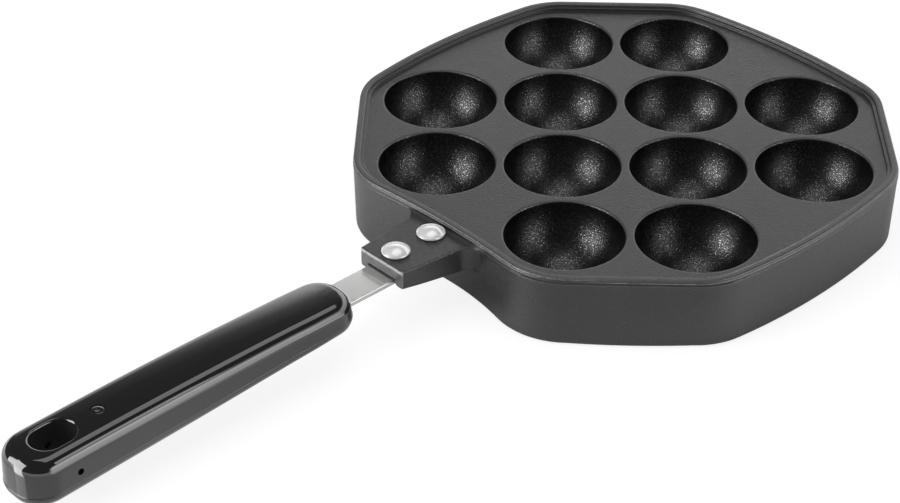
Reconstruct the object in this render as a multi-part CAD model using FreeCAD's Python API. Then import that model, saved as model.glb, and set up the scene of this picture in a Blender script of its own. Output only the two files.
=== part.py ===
"""Takoyaki maker: a cast octagonal pan with twelve cups, a riveted steel strap and a moulded grip.

Millimetres.  +Z is up, z = 0 is the plane that the pan's skirt stands on, and the origin is under
the middle of the cup pattern.  The handle runs along -Y.
"""
import FreeCAD, Part
import math
import os
from FreeCAD import Vector

# ---- cups -------------------------------------------------------------------
cups_per_side = 4            # square pattern, with its four corner cups left out
cup_pitch = 46.0
cup_mouth_radius = 21.4
cup_depth = 21.0
cup_lip_radius = 0.9         # rounding where a cup meets the plate
bowl_wall = 2.8              # metal left under a cup
bowl_clearance = 2.0         # from the underside of a bowl to the plane the pan stands on

# ---- casting ----------------------------------------------------------------
plate_thickness = 3.0
skirt_wall = 3.0
rim_rise = 2.3               # rim above the plate
rim_width = 2.8
ledge_width = 1.3            # small step inside the rim
ledge_rise = 1.1
flat_side_margin = 9.4       # from the outermost cups' mouths to the four flat sides
bowed_side_margin = 9.85     # and to the three bowed sides
lug_side_margin = 6.45       # and to the hollow side that carries the lug
bowed_side_radius = 257.0
lug_side_radius_at_rim = 366.0
lug_side_radius_at_base = 110.0
flat_side_draft = 0.8        # how much further in a side is at the base than at the rim
bowed_side_draft = 0.1
lug_side_draft = 3.5
corner_radius = 28.0
rim_edge_radius = 0.7
base_edge_radius = 1.6

# ---- lug --------------------------------------------------------------------
lug_length = 29.3            # from the middle of its side
lug_end_width = 21.4
lug_flare = 0.09             # sideways growth of each flank per millimetre towards the pan
lug_root_radius = 6.5
lug_root_sink = 0.65         # how far the root fillets run into the side
lug_corner_radius = 0.9
lug_top_drop = 0.3           # lug top below the plate
lug_end_thickness = 7.3
lug_underside_slope = 0.12
lug_edge_radius = 0.5
groove_roof_thickness = 5.2  # metal above the strap

# ---- strap ------------------------------------------------------------------
strap_width = 12.7
strap_thickness = 2.0
strap_end_radius = 3.0
strap_to_skirt = 1.3
strap_exposed = 17.7         # between lug and grip
strap_side_clearance = 0.3
strap_tail_margin = 4.0      # behind the pin

# ---- rivets -----------------------------------------------------------------
rivet_shank_diameter = 5.0
rivet_head_diameter = 10.8
rivet_head_height = 1.9
rivet_tail_diameter = 8.6
rivet_tail_height = 1.5
rivet_end_margin = 6.9       # from the outer rivet to the lug's end
rivet_spacing = 16.6
hole_clearance = 0.1         # on the diameter

# ---- grip -------------------------------------------------------------------
grip_length = 136.7
grip_width_at_strap = 22.3
grip_width_at_tail = 23.4
grip_plan_radius = 10.4
grip_top_below_plate = 0.5   # at the crown of its top
grip_crown_radius = 1780.0
grip_underside_at_strap = 13.2   # below the plate
grip_underside_at_tail = 18.9
grip_top_edge_radius = 4.6
grip_bottom_edge_radius = 3.9
slot_clearance = 0.1

# ---- hanging hole and pin ---------------------------------------------------
hang_hole_length = 16.6
hang_hole_width = 11.8
hang_hole_edge_radius = 1.0
hang_hole_from_tail = 17.2   # its centre to the end of the grip
cross_hole_diameter = 2.2
cross_hole_below_plate = 10.1
pin_diameter = 4.8
pin_to_hang_hole = 16.8      # between their centres
pin_dimple_diameter = 1.4
pin_dimple_depth = 0.6
pin_recess = 0.2             # pin ends below the grip's faces

# ---- places worked out from the sizes above ---------------------------------
half_pattern = (cups_per_side - 1) / 2.0 * cup_pitch
diagonal_reach = (half_pattern + half_pattern - cup_pitch) / math.sqrt(2.0)
cup_sphere_radius = (cup_mouth_radius ** 2 + cup_depth ** 2) / (2.0 * cup_depth)
plate_height = bowl_clearance + bowl_wall + cup_depth
rim_height = plate_height + rim_rise
flat_side = half_pattern + cup_mouth_radius + flat_side_margin
bowed_side = diagonal_reach + cup_mouth_radius + bowed_side_margin
lug_side = diagonal_reach + cup_mouth_radius + lug_side_margin
lug_end = lug_side + lug_length
lug_top = plate_height - lug_top_drop
lug_end_underside = lug_top - lug_end_thickness
strap_top = lug_top - groove_roof_thickness
strap_underside = strap_top - strap_thickness
strap_start = lug_side + strap_to_skirt
grip_start = lug_end + strap_exposed
grip_end = grip_start + grip_length
grip_top = plate_height - grip_top_below_plate
hang_hole_at = grip_end - hang_hole_from_tail
pin_at = hang_hole_at - pin_to_hang_hole
strap_end = pin_at + strap_tail_margin
outer_rivet_at = lug_end - rivet_end_margin
inner_rivet_at = outer_rivet_at - rivet_spacing
rivet_hole_radius = (rivet_shank_diameter + hole_clearance) / 2
pin_hole_radius = (pin_diameter + hole_clearance) / 2
overrun = 5.0                # how far cutting shapes run past what they cut
tolerance = 0.001            # for telling where an edge lies


def turned(distance, angle):
    """Point at a distance from the origin, in the direction of an angle in degrees."""
    turn = math.radians(angle)
    return Vector(distance * math.cos(turn), distance * math.sin(turn), 0)


def bow_centre(side, radius, angle):
    """Centre of a side's arc.  A positive radius bows out, a negative one is hollow."""
    return turned(side - radius, angle)


def corner_centre(flat, flat_angle, bow, bow_radius, bow_angle, corner):
    """Centre of the corner arc that touches a flat side and its bowed neighbour."""
    normal = turned(1.0, flat_angle)
    along = Vector(-normal.y, normal.x, 0)
    centre = bow_centre(bow, bow_radius, bow_angle)
    reach = abs(bow_radius - corner)
    offset = flat - corner - centre.dot(normal)
    half_chord = math.sqrt(reach ** 2 - offset ** 2)
    foot = centre + normal * offset
    candidates = [foot + along * half_chord, foot - along * half_chord]
    expected = (normal + turned(1.0, bow_angle)).normalize() * (flat - corner)
    return min(candidates, key=lambda point: point.distanceToPoint(expected))


def touch_point(centre, side_centre, bow_radius, corner):
    """Where a corner arc runs into the arc of a bowed or hollow side."""
    outward = (centre - side_centre).normalize()
    if bow_radius < 0:
        outward = outward * -1.0
    return centre + outward * corner


def arc(start, middle, end):
    return Part.Arc(start, middle, end).toShape()


def outline(flat, bows, bow_radii, corner, height, inset=0.0):
    """Closed wire of eight sides and eight rounded corners.

    bows and bow_radii give the sides at 0, 90, 180 and 270 degrees, and the flat sides lie
    between them.  The inset moves every side inwards.
    """
    lift = Vector(0, 0, height)
    flat = flat - inset
    corner = corner - inset
    bows = [bow - inset for bow in bows]
    bow_radii = [radius - inset for radius in bow_radii]
    corners = []
    for index in range(4):
        bow_angle = 90.0 * index
        for flat_angle in (bow_angle - 45.0, bow_angle + 45.0):
            centre = corner_centre(flat, flat_angle, bows[index], bow_radii[index], bow_angle, corner)
            side_centre = bow_centre(bows[index], bow_radii[index], bow_angle)
            on_flat = centre + turned(corner, flat_angle)
            on_bow = touch_point(centre, side_centre, bow_radii[index], corner)
            outward = ((on_flat - centre) + (on_bow - centre)).normalize()
            corners.append((on_flat + lift, centre + outward * corner + lift, on_bow + lift))
    edges = []
    for index in range(4):
        into, out_of = corners[2 * index], corners[2 * index + 1]
        next_into = corners[(2 * index + 2) % 8]
        edges.append(arc(into[0], into[1], into[2]))
        edges.append(arc(into[2], turned(bows[index], 90.0 * index) + lift, out_of[2]))
        edges.append(arc(out_of[2], out_of[1], out_of[0]))
        edges.append(Part.LineSegment(out_of[0], next_into[0]).toShape())
    return Part.Wire(edges)


def rim_outline(height, inset=0.0):
    bows = [bowed_side, bowed_side, bowed_side, lug_side]
    radii = [bowed_side_radius] * 3 + [-lug_side_radius_at_rim]
    return outline(flat_side, bows, radii, corner_radius, height, inset)


def base_outline(height, inset=0.0):
    bows = [bowed_side - bowed_side_draft] * 3 + [lug_side - lug_side_draft]
    radii = [bowed_side_radius] * 3 + [-lug_side_radius_at_base]
    return outline(flat_side - flat_side_draft, bows, radii, corner_radius, height, inset)


def prism(wire, rise):
    return Part.Face(wire).extrude(Vector(0, 0, rise))


def slab(low, high):
    """A block wider than the pan, from one height to another."""
    size = 4.0 * flat_side
    return Part.makeBox(size, size, high - low, Vector(-size / 2, -size / 2, low))


def cylinder(radius, low, high, x, y):
    return Part.makeCylinder(radius, high - low, Vector(x, y, low), Vector(0, 0, 1))


def edges_at(shape, height):
    """Edges that lie wholly in one level plane."""
    found = []
    for edge in shape.Edges:
        box = edge.BoundBox
        if abs(box.ZMin - height) < tolerance and abs(box.ZMax - height) < tolerance:
            found.append(edge)
    return found


def cup_places():
    """Centres of the twelve cups.  The pattern stands on its corner, towards the handle."""
    places = []
    last = cups_per_side - 1
    for column in range(cups_per_side):
        for row in range(cups_per_side):
            if column in (0, last) and row in (0, last):
                continue
            across = column * cup_pitch - half_pattern
            back = row * cup_pitch - half_pattern
            places.append(((across - back) / math.sqrt(2.0), (across + back) / math.sqrt(2.0)))
    return places


def cup_cutter(x, y):
    """What is taken out of the plate for one cup: a bowl that widens in a rounded lip."""
    centre_height = plate_height - cup_depth + cup_sphere_radius
    lip_height = plate_height - cup_lip_radius
    lip_centre = math.sqrt((cup_sphere_radius + cup_lip_radius) ** 2 - (centre_height - lip_height) ** 2)
    drop = centre_height - lip_height
    tangent_angle = math.atan2(drop, lip_centre)
    seam = Vector(cup_sphere_radius * math.cos(tangent_angle), 0,
                  centre_height - cup_sphere_radius * math.sin(tangent_angle))
    bottom = Vector(0, 0, plate_height - cup_depth)
    half = (tangent_angle + math.pi / 2) / 2
    bowl_middle = Vector(cup_sphere_radius * math.cos(half), 0,
                         centre_height - cup_sphere_radius * math.sin(half))
    crest = Vector(lip_centre, 0, plate_height)
    lip_half = (math.pi / 2 + math.pi - tangent_angle) / 2
    lip_middle = Vector(lip_centre + cup_lip_radius * math.cos(lip_half), 0,
                        lip_height + cup_lip_radius * math.sin(lip_half))
    above = Vector(lip_centre, 0, rim_height + overrun)
    axis_top = Vector(0, 0, rim_height + overrun)
    profile = Part.Wire([
        arc(bottom, bowl_middle, seam),
        arc(seam, lip_middle, crest),
        Part.LineSegment(crest, above).toShape(),
        Part.LineSegment(above, axis_top).toShape(),
        Part.LineSegment(axis_top, bottom).toShape(),
    ])
    cutter = Part.Face(profile).revolve(Vector(0, 0, 0), Vector(0, 0, 1), 360)
    cutter.translate(Vector(x, y, 0))
    return cutter


def bowl(x, y):
    """The rounded metal under one cup."""
    centre_height = plate_height - cup_depth + cup_sphere_radius
    ball = Part.makeSphere(cup_sphere_radius + bowl_wall, Vector(x, y, centre_height))
    return ball.common(slab(0, plate_height - plate_thickness / 2))


def skirt_and_plate():
    """Drafted outer wall with the plate across it, open underneath."""
    outer = Part.makeLoft([base_outline(0), rim_outline(rim_height)], True, True)
    outer = outer.makeFillet(base_edge_radius, edges_at(outer, 0))
    hollow = Part.makeLoft([base_outline(0, skirt_wall), rim_outline(rim_height, skirt_wall)], True, True)
    hollow = hollow.common(slab(-overrun, plate_height - plate_thickness))
    return outer.cut(hollow)


def basin():
    """The shallow space inside the rim, with a small step half-way down."""
    ledge_height = plate_height + ledge_rise
    upper = prism(rim_outline(ledge_height, rim_width), rim_height + overrun - ledge_height)
    lower = prism(rim_outline(plate_height, rim_width + ledge_width), rim_height + overrun - plate_height)
    return upper.fuse(lower)


def wall_middle(height):
    """How far out the middle of the lug side's drafted wall is, at a height."""
    return lug_side - lug_side_draft * (1.0 - height / rim_height) - skirt_wall / 2


def lug_plan():
    """Outline of the lug seen from above, from its end into the skirt's wall."""
    half_end = lug_end_width / 2
    root_y = -(lug_side + lug_root_radius - lug_root_sink)
    half_root = half_end + lug_flare * (lug_end + root_y)
    inner_y = -wall_middle(lug_end_underside)
    spread = half_root + lug_root_radius
    diagonal = lug_root_radius * (1.0 - math.sqrt(0.5))
    edges = []
    right = [
        Vector(half_end, -lug_end, 0),
        Vector(half_root, root_y, 0),
        Vector(half_root + diagonal, root_y + lug_root_radius - diagonal, 0),
        Vector(spread, root_y + lug_root_radius, 0),
        Vector(spread, inner_y, 0),
    ]
    left = [Vector(-point.x, point.y, 0) for point in right]
    edges.append(Part.LineSegment(left[0], right[0]).toShape())
    edges.append(Part.LineSegment(right[0], right[1]).toShape())
    edges.append(arc(right[1], right[2], right[3]))
    edges.append(Part.LineSegment(right[3], right[4]).toShape())
    edges.append(Part.LineSegment(right[4], left[4]).toShape())
    edges.append(Part.LineSegment(left[4], left[3]).toShape())
    edges.append(arc(left[3], left[2], left[1]))
    edges.append(Part.LineSegment(left[1], left[0]).toShape())
    return Part.Wire(edges)


def lug_body():
    """The lug, thicker towards the pan, with broken edges at its end."""
    plan = prism(lug_plan(), plate_height)
    inner = wall_middle(lug_end_underside)
    inner_underside = lug_end_underside - lug_underside_slope * (lug_end - inner)
    side = Part.makePolygon([
        Vector(-flat_side, -lug_end, lug_end_underside),
        Vector(-flat_side, -inner, inner_underside),
        Vector(-flat_side, -inner, lug_top),
        Vector(-flat_side, -lug_end, lug_top),
        Vector(-flat_side, -lug_end, lug_end_underside),
    ])
    body = plan.common(Part.Face(side).extrude(Vector(2 * flat_side, 0, 0)))
    posts = []
    for edge in body.Edges:
        box = edge.BoundBox
        if box.YMax < tolerance - lug_end and box.ZLength > lug_end_thickness / 2:
            posts.append(edge)
    body = body.makeFillet(lug_corner_radius, posts)
    level = []
    for edge in body.Edges:
        box = edge.BoundBox
        if box.YMax < tolerance - lug_end + lug_corner_radius and box.ZLength < lug_end_thickness / 2:
            level.append(edge)
    return body.makeFillet(lug_edge_radius, level)


def strap_groove():
    """The channel under the lug that the strap lies in."""
    width = strap_width + 2 * strap_side_clearance
    length = lug_end - strap_start + strap_side_clearance
    return Part.makeBox(width, length + overrun, strap_top, Vector(-width / 2, -lug_end - overrun, 0))


def pan_body():
    """The casting: plate, cups, rim, skirt and lug in one piece."""
    body = skirt_and_plate()
    bowls = [bowl(x, y) for x, y in cup_places()]
    body = body.fuse(bowls + [lug_body()]).removeSplitter()
    body = body.cut(basin())
    body = body.cut([cup_cutter(x, y) for x, y in cup_places()])
    body = body.cut(strap_groove())
    for y in (outer_rivet_at, inner_rivet_at):
        body = body.cut(cylinder(rivet_hole_radius, 0, plate_height, 0, -y))
    return body.makeFillet(rim_edge_radius, edges_at(body, rim_height))


def handle_strap():
    """Flat steel bar from under the lug to the tail of the grip."""
    length = strap_end - strap_start
    bar = Part.makeBox(strap_width, length, strap_thickness,
                       Vector(-strap_width / 2, -strap_end, strap_underside))
    posts = [edge for edge in bar.Edges if edge.BoundBox.ZLength > strap_thickness / 2]
    bar = bar.makeFillet(strap_end_radius, posts)
    for y in (outer_rivet_at, inner_rivet_at):
        bar = bar.cut(cylinder(rivet_hole_radius, 0, plate_height, 0, -y))
    return bar.cut(cylinder(pin_hole_radius, 0, plate_height, 0, -pin_at))


def dome(diameter, rise, y, height, direction):
    """A rivet's rounded head, standing on the given height, upwards (+1) or downwards (-1)."""
    radius = ((diameter / 2) ** 2 + rise ** 2) / (2 * rise)
    ball = Part.makeSphere(radius, Vector(0, -y, height + direction * (rise - radius)))
    low = height if direction > 0 else height - rise
    return ball.common(cylinder(diameter, low, low + rise, 0, -y))


def rivet(y):
    """Shank, domed head on the lug and formed head under the strap."""
    shank = cylinder(rivet_shank_diameter / 2, strap_underside - rivet_tail_height / 2,
                     lug_top + rivet_head_height / 2, 0, -y)
    head = dome(rivet_head_diameter, rivet_head_height, y, lug_top, 1)
    formed = dome(rivet_tail_diameter, rivet_tail_height, y, strap_underside, -1)
    return shank.fuse([head, formed]).removeSplitter()


def grip_plan():
    """The grip's outline from above: two straight sides that taper, and two rounded ends."""
    half_start = grip_width_at_strap / 2
    half_end = grip_width_at_tail / 2
    turn = grip_plan_radius * (1.0 - math.sqrt(0.5))
    right = [
        Vector(half_start - grip_plan_radius, -grip_start, 0),
        Vector(half_start - turn, -grip_start - turn, 0),
        Vector(half_start, -grip_start - grip_plan_radius, 0),
        Vector(half_end, -grip_end + grip_plan_radius, 0),
        Vector(half_end - turn, -grip_end + turn, 0),
        Vector(half_end - grip_plan_radius, -grip_end, 0),
    ]
    left = [Vector(-point.x, point.y, 0) for point in right]
    return Part.Wire([
        Part.LineSegment(left[0], right[0]).toShape(),
        arc(right[0], right[1], right[2]),
        Part.LineSegment(right[2], right[3]).toShape(),
        arc(right[3], right[4], right[5]),
        Part.LineSegment(right[5], left[5]).toShape(),
        arc(left[5], left[4], left[3]),
        Part.LineSegment(left[3], left[2]).toShape(),
        arc(left[2], left[1], left[0]),
    ])


def grip_side():
    """The grip's outline from the side: a crowned top over an underside that drops to the tail."""
    half = grip_length / 2
    drop = grip_crown_radius - math.sqrt(grip_crown_radius ** 2 - half ** 2)
    x = -grip_width_at_tail
    middle = -(grip_start + half)
    start_top = Vector(x, -grip_start, grip_top - drop)
    end_top = Vector(x, -grip_end, grip_top - drop)
    start_low = Vector(x, -grip_start, plate_height - grip_underside_at_strap)
    end_low = Vector(x, -grip_end, plate_height - grip_underside_at_tail)
    return Part.Wire([
        arc(start_top, Vector(x, middle, grip_top), end_top),
        Part.LineSegment(end_top, end_low).toShape(),
        Part.LineSegment(end_low, start_low).toShape(),
        Part.LineSegment(start_low, start_top).toShape(),
    ])


def hang_hole():
    """The oblong hole through the tail, its long way along the grip."""
    straight = (hang_hole_length - hang_hole_width) / 2
    radius = hang_hole_width / 2
    shape = cylinder(radius, -overrun, rim_height, 0, -hang_hole_at - straight)
    shape = shape.fuse(cylinder(radius, -overrun, rim_height, 0, -hang_hole_at + straight))
    block = Part.makeBox(hang_hole_width, 2 * straight, rim_height + overrun,
                         Vector(-radius, -hang_hole_at - straight, -overrun))
    return shape.fuse(block).removeSplitter()


def hang_hole_edges(shape):
    """The hole's two mouths, on the top and on the underside."""
    found = []
    for edge in shape.Edges:
        box = edge.BoundBox
        near_x = max(abs(box.XMin), abs(box.XMax)) < hang_hole_width / 2 + tolerance
        near_y = abs((box.YMin + box.YMax) / 2 + hang_hole_at) < hang_hole_length / 2
        upright = box.ZLength > grip_underside_at_strap / 2
        if near_x and near_y and not upright:
            found.append(edge)
    return found


def grip():
    """Moulded grip around the strap, with its hanging hole."""
    body = prism(grip_plan(), plate_height)
    side = Part.Face(grip_side()).extrude(Vector(2 * grip_width_at_tail, 0, 0))
    body = body.common(side)
    middle_height = plate_height - grip_underside_at_strap / 2
    upper = [edge for edge in body.Edges if edge.BoundBox.ZMin > middle_height]
    body = body.makeFillet(grip_top_edge_radius, upper)
    lower = [edge for edge in body.Edges if edge.BoundBox.ZMax < middle_height]
    body = body.makeFillet(grip_bottom_edge_radius, lower)
    body = body.cut(hang_hole())
    body = body.makeFillet(hang_hole_edge_radius, hang_hole_edges(body))
    slot = Part.makeBox(strap_width + 2 * slot_clearance, strap_end + slot_clearance - grip_start + overrun,
                        strap_thickness + 2 * slot_clearance,
                        Vector(-strap_width / 2 - slot_clearance, -strap_end - slot_clearance,
                               strap_underside - slot_clearance))
    body = body.cut(slot)
    body = body.cut(cylinder(pin_hole_radius, 0, rim_height, 0, -pin_at))
    cross = Part.makeCylinder(cross_hole_diameter / 2, 2 * grip_width_at_tail,
                              Vector(-grip_width_at_tail, -hang_hole_at, plate_height - cross_hole_below_plate),
                              Vector(1, 0, 0))
    return body.cut(cross)


def grip_face_height(y, top):
    """Height of the grip's crowned top, or of its sloping underside, at a distance along it."""
    if top:
        away = y - (grip_start + grip_length / 2)
        return grip_top - (grip_crown_radius - math.sqrt(grip_crown_radius ** 2 - away ** 2))
    share = (y - grip_start) / grip_length
    below = grip_underside_at_strap + share * (grip_underside_at_tail - grip_underside_at_strap)
    return plate_height - below


def strap_pin():
    """Pin through grip and strap, with a small centre dimple in its top."""
    low = grip_face_height(pin_at, False) + pin_recess
    high = grip_face_height(pin_at, True) - pin_recess
    pin = cylinder(pin_diameter / 2, low, high, 0, -pin_at)
    dimple = cylinder(pin_dimple_diameter / 2, high - pin_dimple_depth, high + overrun, 0, -pin_at)
    return pin.cut(dimple)


nodes = {
    "pan_body": pan_body(),
    "handle_strap": handle_strap(),
    "rivet_outer": rivet(outer_rivet_at),
    "rivet_inner": rivet(inner_rivet_at),
    "grip": grip(),
    "strap_pin": strap_pin(),
}

os.makedirs("parts", exist_ok=True)
for name, shape in nodes.items():
    solids = shape.Solids
    piece = solids[0] if len(solids) == 1 else shape
    piece.exportStep("parts/" + name + ".step")
    print(name, "solids", len(solids), "valid", piece.isValid(), "volume", round(piece.Volume, 1))
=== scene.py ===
import math

import bmesh
import bpy
import numpy as np
from mathutils import Matrix, Vector
from mathutils.geometry import delaunay_2d_cdt


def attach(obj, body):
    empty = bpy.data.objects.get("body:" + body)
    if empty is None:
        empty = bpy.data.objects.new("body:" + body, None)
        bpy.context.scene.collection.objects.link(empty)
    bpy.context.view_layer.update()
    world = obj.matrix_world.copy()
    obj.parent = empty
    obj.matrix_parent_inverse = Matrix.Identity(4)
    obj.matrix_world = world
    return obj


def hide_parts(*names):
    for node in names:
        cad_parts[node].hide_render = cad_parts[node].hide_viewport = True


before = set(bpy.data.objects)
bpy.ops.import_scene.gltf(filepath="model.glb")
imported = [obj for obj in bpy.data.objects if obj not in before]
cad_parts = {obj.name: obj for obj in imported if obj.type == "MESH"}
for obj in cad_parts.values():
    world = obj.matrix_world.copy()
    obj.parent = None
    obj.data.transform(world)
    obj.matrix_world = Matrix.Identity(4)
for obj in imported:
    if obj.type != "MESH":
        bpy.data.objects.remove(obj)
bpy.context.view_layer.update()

MM = 0.001

# ---- sizes -------------------------------------------------------------------
CUPS_PER_SIDE = 4
CUP_PITCH = 46.0
CUP_SPHERE = 21.404
CUP_CENTRE_HEIGHT = 26.204
CUP_LIP = 0.9
CUP_FLAT = 0.45
BOWL_WALL = 2.8
PLATE = 25.8
PLATE_UNDERSIDE = 22.8
PLATE_EDGE = 4.75
UNDERSIDE_FILLET = 1.5
RIM = 28.1
RIM_ROUNDING = 0.7
FOOT_ROUNDING = 1.6
MOULD_STEP = 0.22
# each side's distance at the rim, and how much less it is at the base, where the flat sides also
# bulge; the lug's side is hollow, so its radii are negative
FLAT_SIDE, FLAT_DRAFT, FLAT_BULGE_AT_BASE = 99.8, 0.8, 0.9
BOWED_SIDE, BOWED_DRAFT, BOWED_RADIUS = 96.30, 0.1, 257.0
LUG_SIDE, LUG_SIDE_DRAFT = 92.90, 3.5
LUG_SIDE_RADIUS_AT_RIM, LUG_SIDE_RADIUS_AT_BASE = -366.0, -110.0
CORNER = 28.0
LUG_END = 122.2
LUG_SUNK_END = 90.9
LUG_TOP = 25.5
LUG_EDGE = 0.55
LUG_ROOT = 6.5
SLOT_MOUTH = 0.5
STRAP_HALF = 6.35
STRAP_TOP = 20.3
STRAP_UNDERSIDE = 18.3
STRAP_START = 94.2
STRAP_END = 246.6
GRIP_START = 139.9
GRIP_END = 276.6
GRIP_CORNER = 10.4
GRIP_TOP_EDGE = 4.7
GRIP_BOTTOM_EDGE = 3.9
GRIP_ARCH = 1780.0
GRIP_CROWN = 120.0
GRIP_DEPTH, GRIP_DEPTH_GAIN = 13.2, 5.7
GRIP_SLOT_HALF = 6.45
HANG_HOLE_AT = 259.4
HANG_HOLE_SHIFT = 0.4
HANG_HOLE_LENGTH, HANG_HOLE_WIDTH = 15.8, 11.8
HOLE_EDGE = 1.05
CROSS_HOLE_AT, CROSS_HOLE_HEIGHT, CROSS_HOLE_RADIUS = 258.4, 15.7, 1.15
PIN_AT = 242.6
PIN_HOLE_RADIUS = 2.45
OUTER_RIVET_AT = 115.3
RIVET_SPACING = 16.6


# ---- mesh helpers --------------------------------------------------------------
class Skin:
    """Points and faces of one piece, gathered in millimetres."""

    def __init__(self):
        self.points, self.faces = [], []

    def ring(self, points):
        """Adds a row of points and gives their numbers."""
        first = len(self.points)
        self.points += [tuple(p) for p in points]
        return list(range(first, len(self.points)))

    def bridge(self, a, b):
        """Faces between two closed rings of as many points."""
        for k in range(len(a)):
            n = (k + 1) % len(a)
            self.faces.append((a[k], a[n], b[n], b[k]))

    def loft(self, rings):
        made = [self.ring(r) for r in rings]
        for a, b in zip(made, made[1:]):
            self.bridge(a, b)
        return made


def close_up(mesh, extra=None, gap=2e-6):
    """Joins points that lie together, drops faces with no area, and turns every face outwards."""
    bm = bmesh.new()
    bm.from_mesh(mesh)
    if extra is not None:
        bm.from_mesh(extra)
    bmesh.ops.remove_doubles(bm, verts=bm.verts, dist=gap)
    bmesh.ops.dissolve_degenerate(bm, edges=bm.edges, dist=gap)
    bmesh.ops.recalc_face_normals(bm, faces=bm.faces)
    bm.to_mesh(mesh)
    bm.free()


def new_object(name, mesh):
    made = bpy.data.objects.new(name, mesh)
    bpy.context.scene.collection.objects.link(made)
    return made


def skin_object(name, skin, extra=None):
    """Object from a skin, with the faces of another mesh joined to it where their points meet."""
    mesh = bpy.data.meshes.new(name)
    mesh.from_pydata([(x * MM, y * MM, z * MM) for x, y, z in skin.points], [], skin.faces)
    close_up(mesh, extra)
    return new_object(name, mesh)


def capped_object(name, rings):
    """Object lofted through rings, with a face over its first and its last."""
    skin = Skin()
    made = skin.loft(rings)
    skin.faces += [tuple(made[0]), tuple(made[-1])]
    return skin_object(name, skin)


def settle(thing):
    """Applies an object's modifiers, so that only its plain mesh is left."""
    graph = bpy.context.evaluated_depsgraph_get()
    mesh = bpy.data.meshes.new_from_object(thing.evaluated_get(graph), preserve_all_data_layers=True,
                                           depsgraph=graph)
    thing.modifiers.clear()
    old, thing.data = thing.data, mesh
    mesh.name = thing.name
    bpy.data.meshes.remove(old)


def combine(thing, tool, operation):
    """Joins a tool piece to a thing, or cuts it out, and removes the tool."""
    step = thing.modifiers.new("work", "BOOLEAN")
    step.operation, step.solver, step.object = operation, "EXACT", tool
    settle(thing)
    mesh = tool.data
    bpy.data.objects.remove(tool)
    bpy.data.meshes.remove(mesh)


def finish_piece(thing, crease, material, slot, *nodes):
    """Shades a piece smooth but for edges over the crease angle, coats it and hands it over."""
    thing.data.shade_smooth()
    thing.data.set_sharp_from_angle(angle=math.radians(crease))
    step = thing.modifiers.new("normals", "WEIGHTED_NORMAL")
    step.keep_sharp, step.weight = True, 60
    settle(thing)
    thing.data.materials.clear()
    thing.data.materials.append(material)
    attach(thing, "root")
    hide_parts(*nodes)


def cosine(degrees):
    return math.cos(math.radians(degrees))


def sine(degrees):
    return math.sin(math.radians(degrees))


def quarter(centre, radius, start, end, steps):
    """Points along a rounding in a section, both ends included, angles in degrees."""
    turns = [start + (end - start) * k / steps for k in range(steps + 1)]
    return [(centre[0] + radius * cosine(turn), centre[1] + radius * sine(turn)) for turn in turns]


# ---- the pan's outline -----------------------------------------------------------
CORNER_STEPS, SIDE_STEPS, FLAT_STEPS = 14, 16, 12


def turned(distance, degrees):
    return np.array([cosine(degrees), sine(degrees)]) * distance


def along_arc(centre, start, end, steps):
    """Points along an arc, without its end, which starts the next run."""
    a, b = start - centre, end - centre
    first = math.atan2(a[1], a[0])
    sweep = math.remainder(math.atan2(b[1], b[0]) - first, 2 * math.pi)
    angles = first + sweep * np.arange(steps) / steps
    return centre + np.hypot(*a) * np.stack([np.cos(angles), np.sin(angles)], 1)


def outline(flat, bows, bow_radii, bulge, inset):
    """Eight sides and eight rounded corners, always with the same number of points."""
    flat, corner = flat - inset, CORNER - inset
    corners = []
    for index in range(4):
        bow_angle = 90.0 * index
        bow, bow_radius = bows[index] - inset, bow_radii[index] - inset
        side_centre = turned(bow - bow_radius, bow_angle)
        for flat_angle in (bow_angle - 45.0, bow_angle + 45.0):
            normal = turned(1.0, flat_angle)
            offset = flat - corner - side_centre @ normal
            half_chord = math.sqrt((bow_radius - corner) ** 2 - offset ** 2)
            foot = side_centre + normal * offset
            sideways = np.array([-normal[1], normal[0]]) * half_chord
            middle = normal + turned(1.0, bow_angle)
            expected = middle / np.hypot(*middle) * (flat - corner)
            centre = min((foot + sideways, foot - sideways), key=lambda p: np.hypot(*(p - expected)))
            outward = (centre - side_centre) / np.hypot(*(centre - side_centre))
            outward = outward * math.copysign(1.0, bow_radius)
            corners.append((centre, centre + normal * corner, centre + outward * corner, side_centre))
    points = []
    for index in range(4):
        into, out_of = corners[2 * index], corners[2 * index + 1]
        ahead = corners[(2 * index + 2) % 8][1]
        points.append(along_arc(into[0], into[1], into[2], CORNER_STEPS))
        points.append(along_arc(into[3], into[2], out_of[2], SIDE_STEPS))
        points.append(along_arc(out_of[0], out_of[2], out_of[1], CORNER_STEPS))
        share = np.arange(FLAT_STEPS)[:, None] / FLAT_STEPS
        run = out_of[1] * (1 - share) + ahead * share
        points.append(run + turned(bulge, 90.0 * index + 45.0) * 4 * share * (1 - share))
    return np.concatenate(points)


def wall_ring(inset, height):
    """The pan's outline at a height, between its narrower base and its rim."""
    bowed = [BOWED_RADIUS] * 3
    low = outline(FLAT_SIDE - FLAT_DRAFT, [BOWED_SIDE - BOWED_DRAFT] * 3 + [LUG_SIDE - LUG_SIDE_DRAFT],
                  bowed + [LUG_SIDE_RADIUS_AT_BASE], FLAT_BULGE_AT_BASE, inset)
    high = outline(FLAT_SIDE, [BOWED_SIDE] * 3 + [LUG_SIDE], bowed + [LUG_SIDE_RADIUS_AT_RIM], 0.0, inset)
    share = height / RIM
    return [(x, y, height) for x, y in low * (1 - share) + high * share]


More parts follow.
